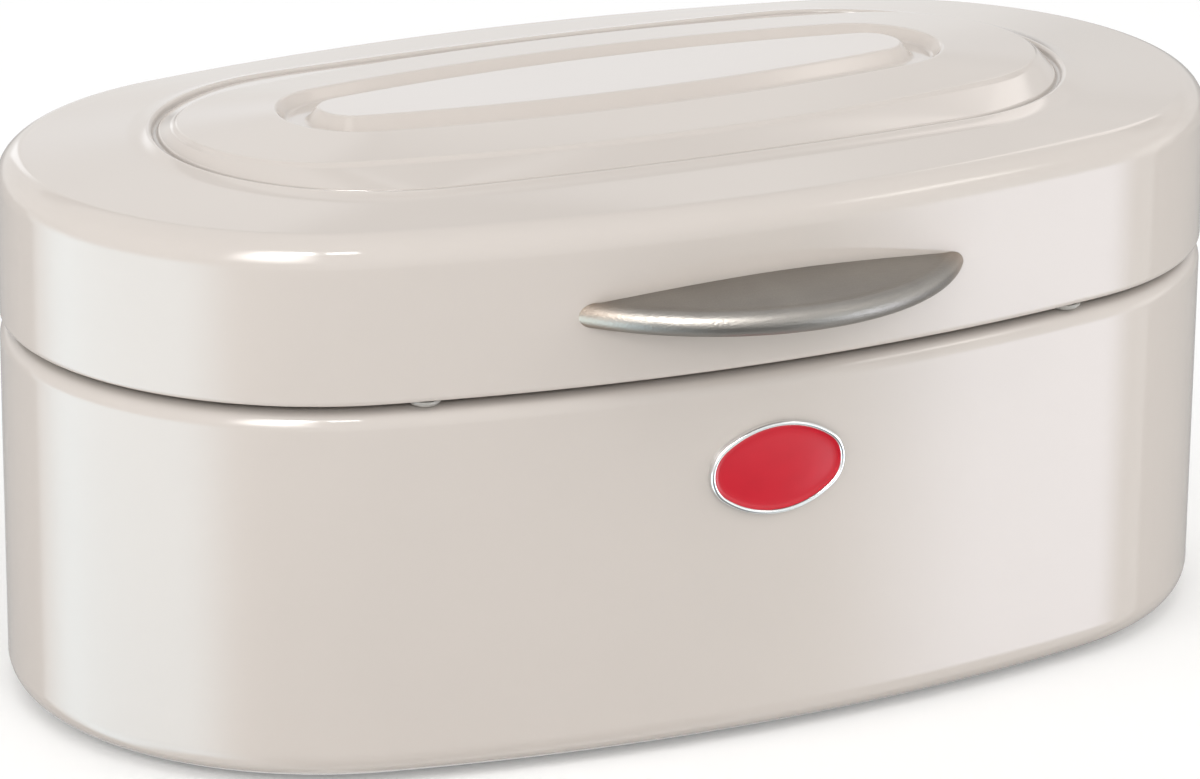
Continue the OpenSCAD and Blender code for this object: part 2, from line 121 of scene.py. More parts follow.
# The block that cuts the crescent along the wall: half its width in millimetres, half its height.
BLOCK_HALF = 75
BLOCK_HALF_HEIGHT = 0.02
# Length of the bars for the pull's bosses, before the wall cuts them.
BOSS_BAR = 0.02

# The badge in section. The first number of a pair is a distance in from the frame's outer edge,
# out from its inner edge or in from the glass's edge, the second a distance out from the wall.
FRAME_OUTER = (
    (0.0, 0.0), (0.0, 0.0012), (0.00004, 0.00138), (0.00015, 0.00156), (0.00032, 0.00170),
    (0.00054, 0.00177),
)
FRAME_INNER = (
    (0.00050, 0.00177), (0.00030, 0.00170), (0.00015, 0.00156), (0.00004, 0.00138), (0.0, 0.0012),
    (0.0, 0.0004),
)
GLASS_EDGE = (
    (0.0, 0.0004), (0.0, 0.00128), (0.00025, 0.00112), (0.0006, 0.00102), (0.0012, 0.00098),
    (0.0024, 0.00100),
)
DOME_FOOT = 0.00100
DOME_RISE = 0.00022
DOME_STEPS = 10
# How far out from the wall the badge's studs start, inside its tray.
STUD_SET = 0.0003

# Edges sharper than this stay sharp.
CREASE = math.radians(35.0)

WHITE = (1.0, 1.0, 1.0, 1.0)

# What the gloss shows of the white studio, each as azimuth, elevation, half width, half height
# and softness of the edge. Azimuth 0 is the front and 90 the right; angles are in degrees.
# A flag ends with the share of light that it leaves, a card with the light that it adds.
FLAGS = (
    (115, -45, 34, 48, 0.1, 0.40),
    (189, -45, 27, 48, 0.15, 0.45),
    (0, 19.0, 181, 2.0, 0.5, 0.78),
    (125, 40, 24, 42, 0.1, 0.82),
    (0, 3, 181, 8, 0.4, 0.92),
    (-5, -45, 60, 42, 0.5, 0.25),
    (152, 34, 60, 6, 0.5, 0.5),
    (149, 45, 16, 6, 0.6, 0.5),
)
CARDS = (
    (-100, -31, 50, 30, 0.55, (1.6, 2.4, 2.8)),
    (52, -17, 22, 17, 0.8, (2.4, 2.5, 3.0)),
    (40, -10, 34, 40, 1.0, (0.5, 0.6, 0.6)),
    (52, 39, 14, 7, 0.8, (4.0, 3.8, 3.6)),
    (155, 15, 11, 5, 1.0, (0.26, 0.31, 0.38)),
    (137, 33, 8, 7, 0.5, (1.5, 1.4, 1.35)),
    (171, 15, 4.5, 11, 0.6, (0.9, 0.95, 1.0)),
    (-42, 34, 20, 28, 0.9, (16.0, 15.4, 14.8)),
    (-38, 47, 16, 9, 0.8, (9.0, 9.0, 9.0)),
    (-34.7, 49, 9.5, 5.5, 0.4, (11.0, 11.0, 11.0)),
    (-15, 49, 9, 5.5, 0.4, (12.0, 12.0, 12.0)),
    (78, 2, 22, 13, 0.8, (1.0, 0.98, 0.95)),
)

# The soft lamps: name, azimuth, elevation, distance, width and height, and power.
LAMPS = (
    ("lamp_top", -15, 70, 2.0, (0.9, 0.6), 4.0),
    ("lamp_left", -80, 25, 2.0, (1.2, 1.2), 12.5),
    ("lamp_front", -12, 24, 2.2, (1.0, 0.6), 8.5),
    ("lamp_right", 65, 25, 2.0, (1.2, 1.2), 10.5),
    ("lamp_rear", 180, 35, 2.2, (2.0, 1.2), 8.0),
)


# ---------- shader trees ----------


class Wire:
    """An output of a shader node that can be added, subtracted and multiplied."""

    def __init__(self, tree, socket):
        self.tree = tree
        self.socket = socket

    def maths(self, operation, *others):
        """A Math node of this output and others."""
        return self.tree.node("ShaderNodeMath", {"operation": operation}, (self, *others))

    def __add__(self, other):
        return self.maths("ADD", other)

    def __radd__(self, other):
        return self.maths("ADD", other)

    def __sub__(self, other):
        return self.maths("SUBTRACT", other)

    def __rsub__(self, other):
        return self.tree.node("ShaderNodeMath", {"operation": "SUBTRACT"}, (other, self))

    def __mul__(self, other):
        return self.maths("MULTIPLY", other)

    def __rmul__(self, other):
        return self.maths("MULTIPLY", other)

    def fade(self, low, high):
        """0 below low, 1 above high and smooth between."""
        return self.tree.node(
            "ShaderNodeMapRange",
            {"interpolation_type": "SMOOTHSTEP"},
            {"Value": self, "From Min": low, "From Max": high},
        )


class Tree:
    """Adds nodes to a shader tree."""

    def __init__(self, owner):
        owner.use_nodes = True
        self.tree = owner.node_tree
        self.tree.nodes.clear()

    def node(self, kind, settings=None, values=(), out=0):
        """Adds a node; values is a list by position or a dict by name, of numbers or wires."""
        made = self.tree.nodes.new(kind)
        for name, value in (settings or {}).items():
            setattr(made, name, value)
        pairs = values.items() if isinstance(values, dict) else enumerate(values)
        for key, value in pairs:
            if isinstance(value, Wire):
                self.tree.links.new(value.socket, made.inputs[key])
            else:
                made.inputs[key].default_value = value
        return Wire(self, made.outputs[out]) if made.outputs else None

    def place(self):
        """Where a point lies on the piece, in metres."""
        return self.node("ShaderNodeTexCoord", out="Object")

    def stretch(self, place, scale):
        """A place scaled by its own factor along each axis."""
        return self.node("ShaderNodeMapping", {}, {"Vector": place, "Scale": scale})

    def noise(self, place, scale, detail):
        """Clouds from 0 to 1, with so many to the metre as the scale says."""
        return self.node(
            "ShaderNodeTexNoise", {}, {"Vector": place, "Scale": scale, "Detail": detail})

    def mix(self, share, a, b):
        """Colour a blended towards colour b. Sockets 6 and 7 of the node are its colours."""
        return self.node("ShaderNodeMix", {"data_type": "RGBA"}, {0: share, 6: a, 7: b}, out=2)

    def tint(self, share, color, dark, light):
        """A colour that goes from a darker to a lighter strength of itself."""
        return self.mix(share, shaded(color, dark), shaded(color, light))

    def bump(self, height, distance, under=None):
        """The normal of a surface with a relief on it, and another relief under that."""
        values = {"Height": height, "Distance": distance, "Strength": 1.0}
        if under is not None:
            values["Normal"] = under
        return self.node("ShaderNodeBump", {}, values)

    def finish(self, shader, kind="ShaderNodeOutputMaterial"):
        """Sends a shader to the tree's output."""
        self.node(kind, {}, {"Surface": shader})


def rgba(color):
    """A colour with full alpha."""
    return (*color[:3], 1.0)


def shaded(color, share):
    """A colour made darker or lighter."""
    return (*(min(1.0, c * share) for c in color[:3]), 1.0)


def new_material(name):
    """A material and its empty tree."""
    material = bpy.data.materials.new(name)
    return material, Tree(material)


def principled(tree, **values):
    """A Principled shader, its sockets given by name with _ for a space."""
    named = {name.replace("_", " "): value for name, value in values.items()}
    return tree.node("ShaderNodeBsdfPrincipled", {}, named)


def coat(nodes, material):
    """Gives CAD nodes their material."""
    for name in nodes:
        piece = NODES[name]
        piece.data.materials.clear()
        piece.data.materials.append(material)


# ---------- the pressed sheet ----------


class Oval:
    """An oval of four arcs.

    Two neighbouring arcs have their centres at the ends of the long side of a right triangle.
    """

    def __init__(self, half_length, half_width, triangle):
        short, long = triangle
        share = (half_length - half_width) / (short + long - math.hypot(short, long))
        self.end, self.side = share * short, share * long
        self.end_radius = half_length - self.end
        self.side_radius = half_width + self.side
        self.turn = math.atan2(short, long)

    def point(self, angle, out):
        """A point at a distance outside the oval, where the oval faces that angle from the rear."""
        x, y = math.sin(angle), math.cos(angle)
        if abs(x) * math.cos(self.turn) < abs(y) * math.sin(self.turn):
            reach = self.side_radius + out
            return x * reach, y * reach - math.copysign(self.side, y)
        reach = self.end_radius + out
        return x * reach + math.copysign(self.end, x), y * reach


class Sheet:
    """The outer face of a bent sheet in profile: distance out, height and the way that it faces."""

    def __init__(self, oval):
        self.oval = oval
        self.points = []

    def run(self, x, z, facing):
        """The next point, unless the sheet is there already."""
        if self.points:
            oval, last_x, last_z, _ = self.points[-1]
            if oval is self.oval and math.hypot(x - last_x, z - last_z) < SAME_POINT:
                return
        self.points.append((self.oval, x, z, facing))

    def bend(self, x, z, radius, start, end, hollow=False):
        """A bend round a centre, from one direction to another; hollow bends face their centre."""
        first, last = (math.atan2(d[1], d[0]) for d in (start, end))
        sweep = (last - first + math.pi) % (2 * math.pi) - math.pi
        steps = max(BEND_STEPS, int(abs(sweep) * (STEPS_PER_RADIAN + STEPS_PER_METRE * radius)))
        for i in range(steps + 1):
            a = first + sweep * i / steps
            way = Vector((math.cos(a), math.sin(a)))
            self.run(x + radius * way.x, z + radius * way.y, -way if hollow else way)


def stations(ovals):
    """Angles round the ovals, with a station wherever one arc passes into the next."""
    turns = sorted({oval.turn for oval in ovals})
    marks = [0.0, *turns, math.pi / 2]
    counts = [SIDE_STATIONS, *([TURN_STATIONS] * (len(turns) - 1)), END_STATIONS]
    quarter = []
    for low, high, count in zip(marks, marks[1:], counts):
        quarter += [low + (high - low) * i / count for i in range(count)]
    quarter.append(marks[-1])
    half = quarter + [math.pi - a for a in reversed(quarter[:-1])]
    return half + [2 * math.pi - a for a in reversed(half[1:-1])]


def sweep_sheet(name, points, thickness, middle_y):
    """Sweeps a sheet round its ovals and gives it its thickness; its last line is filled in."""
    angles = stations({point[0] for point in points})
    count, rows = len(angles), len(points)
    verts, normals, faces = [], [], []
    for depth in (0.0, thickness):
        sign = -1.0 if depth else 1.0
        for oval, x, z, facing in points:
            for angle in angles:
                px, py = oval.point(angle, x - depth * facing[0])
                verts.append((px, py + middle_y, z - depth * facing[1]))
                normals.append((
                    sign * facing[0] * math.sin(angle),
                    sign * facing[0] * math.cos(angle),
                    sign * facing[1],
                ))
    inside = rows * count
    for row in range(rows - 1):
        for i in range(count):
            a, b = row * count + i, row * count + (i + 1) % count
            faces.append((a, a + count, b + count, b))
            faces.append((inside + a, inside + b, inside + b + count, inside + a + count))
    smooth = range(len(faces))
    for i in range(count):
        j = (i + 1) % count
        faces.append((i, j, inside + j, inside + i))
    last = (rows - 1) * count
    faces.append(tuple(last + i for i in reversed(range(count))))
    faces.append(tuple(inside + last + i for i in range(count)))
    for row in range(1, rows - 1):
        if points[row - 1][0] is not points[row + 1][0]:
            for layer in (0, inside):
                for i in range(count):
                    at = layer + row * count + i
                    normals[at] = settled(verts, layer, row, i, count, Vector(normals[at]))
    (_, x0, z0, facing), (_, x1, z1, _) = points[:2]
    if (x1 - x0) * facing[1] - (z1 - z0) * facing[0] > 0:
        faces = [tuple(reversed(face)) for face in faces]
    return piece_from(name, verts, faces, normals, smooth)


def settled(verts, layer, row, i, count, old):
    """The normal at a point, from the area of the four faces round it and the old one's side."""
    total = Vector()
    for r in (row - 1, row):
        for j in (i - 1, i):
            a, b, c, d = (
                Vector(verts[layer + line * count + k % count])
                for line, k in ((r, j), (r, j + 1), (r + 1, j + 1), (r + 1, j))
            )
            total += (c - a).cross(d - b)
    return total.normalized() * math.copysign(1.0, total.dot(old))


def add_object(name, data):
    """Puts a mesh, a lamp or a camera into the scene."""
    made = bpy.data.objects.new(name, data)
    bpy.context.scene.collection.objects.link(made)
    return made


def piece_from(name, verts, faces, normals, smooth):
    """A mesh object whose smooth faces take the given normals at their corners."""
    mesh = bpy.data.meshes.new(name)
    mesh.from_pydata(verts, [], faces)
    corners = []
    for face in mesh.polygons:
        face.use_smooth = face.index in smooth
        for vertex in face.vertices:
            corners.append(normals[vertex] if face.use_smooth else tuple(face.normal))
    mesh.normals_split_custom_set(corners)
    return add_object(name, mesh)


def boolean(piece, operation, other):
    """The mesh of a piece with another solid added or cut away, which is used up."""
    join = piece.modifiers.new("join", "BOOLEAN")
    join.operation, join.solver, join.object = operation, "EXACT", other
    graph = bpy.context.evaluated_depsgraph_get()
    mesh = bpy.data.meshes.new_from_object(piece.evaluated_get(graph))
    piece.modifiers.clear()
    bpy.data.objects.remove(other)
    return mesh


def drill(piece, cutters, axis, middle, oval):
    """Cuts round holes along Y through the rear wall and keeps the wall's smooth normals."""

    def spot(place):
        """A place rounded, so that it can be found again after the cut."""
        return tuple(round(c * 1e7) for c in place)

    before = piece.data
    known = {}
    for face in before.polygons:
        for corner, vertex in zip(face.loop_indices, face.vertices):
            known[spot(before.vertices[vertex].co)] = (
                before.corner_normals[corner].vector.copy() if face.use_smooth else None
            )
    flat = [Vector((0, 0, 1))] * len(cutters[0])
    mesh = boolean(piece, "DIFFERENCE", piece_from("cutter", *cutters, flat, ()))
    corners = []
    for face in mesh.polygons:
        face.use_smooth = True
        for vertex in face.vertices:
            place = mesh.vertices[vertex].co
            wall = Vector((place.x, place.y - middle + oval.side, 0.0)).normalized()
            beside = axis(place) if place.y > middle else None
            if beside and abs(face.normal.dot(wall)) < 0.5:
                corners.append(-beside)
                continue
            normal = known.get(spot(place))
            if normal is None and beside:
                normal = wall if face.normal.dot(wall) > 0 else -wall
            corners.append(normal if normal is not None else face.normal.copy())
    mesh.normals_split_custom_set(corners)
    piece.data = mesh
    bpy.data.meshes.remove(before)


def rods(spots, radius, length, sides=40):
    """Closed round bars along Y that start at the given spots."""
    verts, faces = [], []
    for x, y, z in spots:
        first = len(verts)
        for i in range(sides):
            a = 2 * math.pi * i / sides
            verts.append((x + radius * math.cos(a), y, z + radius * math.sin(a)))
            verts.append((x + radius * math.cos(a), y + length, z + radius * math.sin(a)))
        for i in range(sides):
            a, b = first + 2 * i, first + 2 * ((i + 1) % sides)
            faces.append((a, a + 1, b + 1, b))
        faces.append(tuple(first + 2 * i for i in range(sides)))
        faces.append(tuple(first + 2 * i + 1 for i in reversed(range(sides))))
    return verts, faces


def drill_vents(piece, props, middle, oval):
    """Drills the row of vents through the rear wall of the base."""
    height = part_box("base_shell")[1].z - props.vent_drop
    radius = props.vent_diameter / 2
    run = (props.vents - 1) / 2
    across = [(i - run) * props.vent_pitch for i in range(props.vents)]
    start = middle + oval.side_radius - oval.side - DRILL_START

    def axis(place):
        """The way from the nearest vent's axis to a place, or None if it is far from them all."""
        near = min(across, key=lambda x: abs(x - place.x))
        way = Vector((place.x - near, 0.0, place.z - height))
        return way.normalized() if way.length < radius * VENT_EDGE else None

    cutters = rods([(x, start, height) for x in across], radius, DRILL_LENGTH)
    drill(piece, cutters, axis, middle, oval)


def box_oval(node):
    """The outline oval of a shell and how far back its middle lies."""
    low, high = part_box(node)
    oval = Oval((high.x - low.x) / 2, (high.y - low.y) / 2, BOX_TRIANGLE)
    return oval, (high.y + low.y) / 2


def lean(degrees):
    """The way that a sheet faces in profile when it leans outwards from level by an angle."""
    return Vector((math.sin(math.radians(degrees)), math.cos(math.radians(degrees))))


def lid_sheet(props):
    """The lid in profile, from its flange over the band, the groove and the ring to the panel."""
    oval, middle = box_oval("lid_shell")
    low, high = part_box("lid_shell")

    def inner(inset, triangle):
        """An oval that lies further in than the outline."""
        ends, sides = inset
        return Oval((high.x - low.x) / 2 - ends, (high.y - low.y) / 2 - sides, triangle)

    up, out, down = Vector((0, 1)), Vector((1, 0)), Vector((0, -1))
    rim = low.z + props.lid_rim_height
    band, apron, wall, flank, step, crown, lip_top, side = (lean(a) for a in LEANS.values())
    mirror = Vector((-1, 1))
    wall_in, side_in = wall * mirror, side * mirror
    sheet = Sheet(oval)
    sheet.run(-props.lid_flange, low.z, down)
    curl = props.lid_curl
    sheet.bend(-curl, low.z + curl, curl, down, out)
    edge = props.lid_edge_radius
    sheet.bend(-edge, rim - edge, edge, out, band)

    sheet.oval = inner(props.bead_inset, BEAD_TRIANGLE)
    bead = Vector((0.0, rim + props.bead_rise - props.bead_radius))
    outer = bead + (props.bead_radius + props.apron_radius) * apron
    sheet.bend(*outer, props.apron_radius, -band, -apron, hollow=True)
    sheet.bend(*bead, props.bead_radius, apron, wall_in)
    foot = bead + props.bead_radius * wall_in + props.bead_drop * Vector((-wall.y, -wall.x))
    well = foot + props.groove_radius * wall_in
    sheet.bend(*well, props.groove_radius, -wall_in, -wall, hollow=True)
    top = well - props.groove_radius * wall + props.groove_rise * Vector((-wall.y, wall.x))
    sheet.bend(*(top - props.flank_radius * wall), props.flank_radius, wall, flank)

    sheet.oval = inner(props.plateau_inset, BOX_TRIANGLE)
    edge = Vector((0.0, rim + props.plateau_rise - props.plateau_radius))
    hollow = edge + (props.plateau_radius + props.step_radius) * step
    sheet.bend(*hollow, props.step_radius, -flank, -step, hollow=True)
    sheet.bend(*edge, props.plateau_radius, step, crown)

    sheet.oval = inner(props.ring_inset, RING_TRIANGLE)
    lip = Vector((0.0, rim + props.ring_rise - props.lip_radius))
    sheet.bend(*lip, props.lip_radius, lip_top, side_in)
    foot = lip + props.lip_radius * side_in + props.ring_drop * Vector((-side.y, -side.x))
    well = foot + props.ring_radius * side_in
    sheet.bend(*well, props.ring_radius, -side_in, down, hollow=True)

    sheet.oval = inner(props.panel_inset, RING_TRIANGLE)
    edge = Vector((0.0, rim + props.panel_rise - props.panel_radius))
    climb = (edge.y + props.panel_radius * side.y - well.y + props.ring_radius * side.y) / side.x
    foot = edge + props.panel_radius * side + climb * Vector((side.y, -side.x))
    sheet.bend(*(foot + props.ring_radius * side), props.ring_radius, down, -side, hollow=True)
    sheet.bend(*edge, props.panel_radius, side, up)
    return sheet, middle


def base_sheet(props):
    """The base in profile, from the collar over the shoulder and the wall to the raised floor."""
    oval, middle = box_oval("base_shell")
    low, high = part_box("base_shell")
    up, out, down = Vector((0, 1)), Vector((1, 0)), Vector((0, -1))
    steel, fold = props.steel, props.fold_radius
    sheet = Sheet(oval)
    top = high.z - props.shoulder_radius
    sheet.run(-props.collar_inset, high.z, up)
    sheet.bend(-props.shoulder_radius, top, props.shoulder_radius, up, out)
    sheet.bend(-props.bottom_radius, low.z + props.bottom_radius, props.bottom_radius, out, down)
    rise = low.z + fold + steel
    sheet.bend(-props.floor_inset, rise, fold + steel, down, -out)
    sheet.bend(-props.floor_inset - 2 * fold - steel, rise, fold, out, up, hollow=True)
    return sheet, middle


# ---------- the pull and the badge ----------


def prism(loop, place, steps):
    """A closed solid: a loop of points set down once at each step, with a face at both ends."""
    verts = [place(step, point) for step in steps for point in loop]
    count, last = len(loop), (len(steps) - 1) * len(loop)
    faces = []
    for row in range(0, last, count):
        for i in range(count):
            a, b = row + i, row + (i + 1) % count
            faces.append((a, b, b + count, a + count))
    faces.append(tuple(reversed(range(count))))
    faces.append(tuple(last + i for i in range(count)))
    return verts, faces


def solid(name, verts, faces):
    """A mesh object that is smooth except at its creases."""
    mesh = bpy.data.meshes.new(name)
    mesh.from_pydata(verts, [], faces)
    mesh.shade_smooth()
    mesh.set_sharp_from_angle(angle=CREASE)
    return add_object(name, mesh)


def combine(piece, operation, other):
    """Adds another solid to a piece or cuts it away, and uses it up."""
    before, piece.data = piece.data, boolean(piece, operation, other)
    bpy.data.meshes.remove(before)
    piece.data.shade_smooth()
    piece.data.set_sharp_from_angle(angle=CREASE)


def front_wall(node):
    """How far forward the front wall of a shell lies at a distance from its middle."""
    oval, middle = box_oval(node)
    return lambda x: middle + oval.side - math.sqrt(oval.side_radius ** 2 - x * x)


def pull_shape(props):
    """A crescent with a round rim and a plate that rises to the wall, on two screw bosses."""
    low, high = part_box("pull")
    wall = front_wall("lid_shell")
    rim = props.pull_rim / 2
    middle = high.z - rim
    radius = props.pull_radius
    centre = low.y + radius
    loop = [(PLATE_BACK, -props.plate_under)]
    for i in range(RIM_STEPS + 1):
        a = math.radians(RIM_START + RIM_TURN * i / RIM_STEPS)
        loop.append((radius - rim + rim * math.cos(a), rim * math.sin(a)))
    edge, height = loop[-1]
    for i in range(1, PLATE_STEPS + 1):
        back = (edge - PLATE_BACK) * i / PLATE_STEPS
        loop.append((edge - back, height + props.plate_slope * back))

    def place(turn, point):
        """Where a point of the section comes when it is swung round the middle of the curve."""
        return point[0] * math.sin(turn), centre - point[0] * math.cos(turn), middle + point[1]

    half = math.radians(PULL_HALF_TURN)
    turns = [half * (i / PULL_HALF_STEPS - 1) for i in range(2 * PULL_HALF_STEPS + 1)]
    piece = solid("crescent_pull", *prism(loop, place, turns))
    near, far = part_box("pull_screws")
    across = far.x - (far.z - near.z) / 2
    boss_height = (near.z + far.z) / 2
    spots = [(s * across, wall(across) - props.boss_length, boss_height) for s in (-1, 1)]
    combine(piece, "UNION", solid("bosses", *rods(spots, props.boss_radius, BOSS_BAR, sides=48)))
    arc = [(x / 1000, wall(x / 1000)) for x in range(-BLOCK_HALF, BLOCK_HALF + 1, 2)]
    outline = [*arc, (BLOCK_HALF / 1000, 0.0), (-BLOCK_HALF / 1000, 0.0)]
    levels = (-BLOCK_HALF_HEIGHT, BLOCK_HALF_HEIGHT)
    block = prism(outline, lambda level, point: (*point, middle + level), levels)
    combine(piece, "DIFFERENCE", solid("wall_block", *block))
    return piece


def badge_rings(profile, shrink=()):
    """Rings of points round the badge, at distances in from its edge and out from the wall.

    The rings after the profile are the last one shrunk, each with its share and distance out.
    """
    low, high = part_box("badge_frame")
    wall = front_wall("base_shell")
    oval = Oval((high.x - low.x) / 2, (high.z - low.z) / 2, BADGE_TRIANGLE)
    height = (high.z + low.z) / 2
    angles = stations({oval})
    rings = []
    for inset, out in profile:
        ring = [oval.point(angle, -inset) for angle in angles]
        rings.append([(x, wall(x) - out, height + z) for x, z in ring])
    last = [oval.point(angle, -profile[-1][0]) for angle in angles] if shrink else ()
    for share, out in shrink:
        rings.append([(x * share, wall(x * share) - out, height + z * share) for x, z in last])
    return rings


def badge_piece(name, rings, extra=((), ())):
    """A solid of rings joined in order, the first and last filled in, and an extra solid."""
    count = len(rings[0])
    verts = [point for ring in rings for point in ring]
    faces = []
    for row in range(len(rings) - 1):
        for i in range(count):
            a, b = row * count + i, row * count + (i + 1) % count
            faces.append((a, a + count, b + count, b))
    last = (len(rings) - 1) * count
    faces.append(tuple(last + i for i in reversed(range(count))))
    faces.append(tuple(range(count)))
    first = len(verts)
    verts += extra[0]
    faces += [tuple(first + i for i in face) for face in extra[1]]
    return solid(name, verts, faces)


def badge_frame_shape(props):
    """The badge's rounded frame with its tray and the two studs that hold it."""
    rim = props.badge_rim
    profile = (*FRAME_OUTER, *((rim - back, out) for back, out in FRAME_INNER))
    low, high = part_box("badge_clips")
    across = high.x - (high.z - low.z) / 2
    wall = front_wall("base_shell")(across)
    spots = [(side * across, wall - STUD_SET, (low.z + high.z) / 2) for side in (-1, 1)]
    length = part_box("badge_frame")[1].y - wall + STUD_SET
    studs = rods(spots, props.stud_radius, length, sides=32)
    return badge_piece("badge_frame_bead", badge_rings(profile), studs)


def badge_glass_shape(props):
    """The inlay: raised where it meets the frame and slightly domed in the middle."""
    profile = [(props.badge_rim + inset, out) for inset, out in GLASS_EDGE]
    shares = [1 - i / DOME_STEPS for i in range(1, DOME_STEPS)]
    dome = [(share, DOME_FOOT + DOME_RISE * (1 - share ** 2)) for share in shares]
    return badge_piece("badge_glass", badge_rings(profile, dome))


# ---------- materials ----------


def paint_material(props):
    """Glossy powder coat on pressed sheet, with a little orange peel and painted shade in its
    creases.
    """
    material, t = new_material("gloss_paint")
    place = t.place()
    cloud = t.noise(place, scale=9.0, detail=3.0)
    fine = t.noise(place, scale=900.0, detail=1.0)
    peel = t.noise(place, scale=420.0, detail=2.0)
    sag = t.noise(place, scale=26.0, detail=1.0)
    unshaded_paint = t.tint(cloud.fade(0.3, 0.7), props.paint_color, 0.985, 1.015)
    dust_and_shade = shaded(props.paint_color, 0.70)
    # Painted shade: near creases, seams and recesses an occlusion node darkens the paint's colour
    # to 70 % of itself.
    shelter = t.node(
        "ShaderNodeAmbientOcclusion", {"samples": 6}, {"Distance": props.crease_shade_reach}, out="AO")
    t.finish(principled(
        t,
        Base_Color=t.mix(shelter.fade(0.35, 0.92), dust_and_shade, unshaded_paint),
        Roughness=props.gloss_roughness + 0.02 * fine + 0.02 * cloud,
        Normal=t.bump(sag, props.ripple_height, t.bump(peel, props.peel_height)),
    ))
    return material


def pull_material(props):
    """Satin nickel on a die casting, a little pitted, its tips partly rubbed, partly a painted
    highlight.
    """
    material, t = new_material("satin_nickel")
    place = t.place()
    grain = t.noise(t.stretch(place, (110.0, 2600.0, 2600.0)), scale=1.0, detail=3.0)
    blotch = t.noise(place, scale=60.0, detail=3.0)
    pits = t.noise(place, scale=1400.0, detail=2.0)
    plating = t.tint(blotch.fade(0.3, 0.7), props.nickel_color, 0.94, 1.04)
    across = t.node("ShaderNodeSeparateXYZ", {}, (place,))
    # The tips are partly rubbed plating and partly a painted highlight: their lighter, warmer
    # colour also offsets the cool tint of the gloss there.
    tips = across.maths("ABSOLUTE").fade(0.043, 0.056)
    t.finish(principled(
        t,
        Base_Color=t.mix(tips * blotch.fade(0.15, 0.45), plating, rgba(props.worn_and_highlight_color)),
        Metallic=1.0,
        Roughness=0.31 + 0.12 * grain + 0.05 * blotch,
        Normal=t.bump(pits, 0.00007, t.bump(grain, 0.0001)),
    ))
    return material


def zinc_material(props):
    """Zinc plated steel with a rolled grain."""
    material, t = new_material("zinc_plate")
    place = t.place()
    grain = t.noise(t.stretch(place, (90.0, 1200.0, 1200.0)), scale=1.0, detail=3.0)
    cloud = t.noise(place, scale=140.0, detail=4.0)
    t.finish(principled(
        t,
        Base_Color=t.tint(cloud.fade(0.35, 0.7), props.zinc_color, 0.88, 1.05),
        Metallic=1.0,
        Roughness=0.30 + 0.15 * cloud + 0.05 * grain,
        Normal=t.bump(grain, 0.00001),
    ))
    return material


def chrome_material(props):
    """Bright plating with a faint haze."""
    material, t = new_material("badge_chrome")
    haze = t.noise(t.place(), scale=300.0, detail=3.0)
    t.finish(principled(
        t,
        Base_Color=t.tint(haze, props.chrome_color, 0.96, 1.0),
        Metallic=1.0,
        Roughness=0.12 + 0.08 * haze,
        Normal=t.bump(haze, 0.000004),
    ))
    return material


def enamel_material(props):
    """Glossy enamel, a little uneven."""
    material, t = new_material("badge_enamel")
    cloud = t.noise(t.place(), scale=160.0, detail=2.0)
    t.finish(principled(
        t,
        Base_Color=t.tint(cloud, props.badge_color, 0.92, 1.06),
        Roughness=0.05 + 0.04 * cloud,
        Normal=t.bump(cloud, 0.00001),
    ))
    return material


def rubber_material(props):
    """Matt rubber with a little dust on it."""
    material, t = new_material("foot_rubber")
    place = t.place()
    grain = t.noise(place, scale=1500.0, detail=3.0)
    dust_and_shade = t.noise(place, scale=120.0, detail=3.0)
    t.finish(principled(
        t,
        Base_Color=t.tint(dust_and_shade.fade(0.45, 0.8), props.rubber_color, 1.0, 2.2),
        Roughness=0.65 + 0.2 * dust_and_shade,
        Normal=t.bump(grain, 0.00003),
    ))
    return material


def silicone_material(props):
    """Clear silicone that lets part of the light through."""
    material, t = new_material("clear_silicone")
    cloud = t.noise(t.place(), scale=250.0, detail=2.0)
    t.finish(principled(
        t,
        Base_Color=t.tint(cloud, props.silicone_color, 0.96, 1.0),
        Roughness=0.30 + 0.1 * cloud,
        Transmission_Weight=0.35,
        IOR=1.41,
        Normal=t.bump(cloud, 0.00002),
    ))
    return material


# ---------- stage ----------


def add_floor(props):
    """Paper that keeps the box's shadow and turns as white as the background away from it."""
    half = props.floor_size / 2
    corners = [(-half, -half, 0), (half, -half, 0), (half, half, 0), (-half, half, 0)]
    mesh = bpy.data.meshes.new("floor")
    mesh.from_pydata(corners, [], [(0, 1, 2, 3)])
    floor = add_object("floor", mesh)
    material, t = new_material("floor_paper")
    place = t.place()
    grain = t.noise(place, scale=30.0, detail=2.0)
    paper = t.node(
        "ShaderNodeBsdfDiffuse", {}, {"Color": t.tint(grain, props.floor_color, 0.99, 1.0)})
    seen = t.node("ShaderNodeLightPath", out="Is Camera Ray")
    lift = t.node(
        "ShaderNodeEmission", {}, {"Color": WHITE, "Strength": props.floor_lift * seen})
    near = t.node("ShaderNodeAddShader", {}, (paper, lift))
    far = t.node("ShaderNodeEmission", {}, {"Color": WHITE, "Strength": 1.0})
    away = t.node("ShaderNodeVectorMath", {"operation": "LENGTH"}, (place,), out="Value")
    share = away.fade(props.floor_near, props.floor_far) * seen
    t.finish(t.node("ShaderNodeMixShader", {}, (share, near, far)))
    mesh.materials.append(material)
    floor.visible_glossy = False


def patch(axes, azimuth, elevation, wide, high, soft):
    """1 inside a patch of the studio and 0 outside it; wide and high are half angles in degrees."""
    x, y, z = axes
    turn = math.radians(azimuth)
    side = x * math.cos(turn) + y * math.sin(turn)
    ahead = x * math.sin(turn) - y * math.cos(turn)
    rise = z.maths("ARCSINE") - math.radians(elevation)

    def inside(angle, reach):
        """1 near the middle of the patch and 0 beyond its reach."""
        start = math.radians(reach * (1.0 - soft))
        return 1.0 - angle.maths("ABSOLUTE").fade(start, math.radians(reach))

    return inside(side.maths("ARCTAN2", ahead), wide) * inside(rise, high)


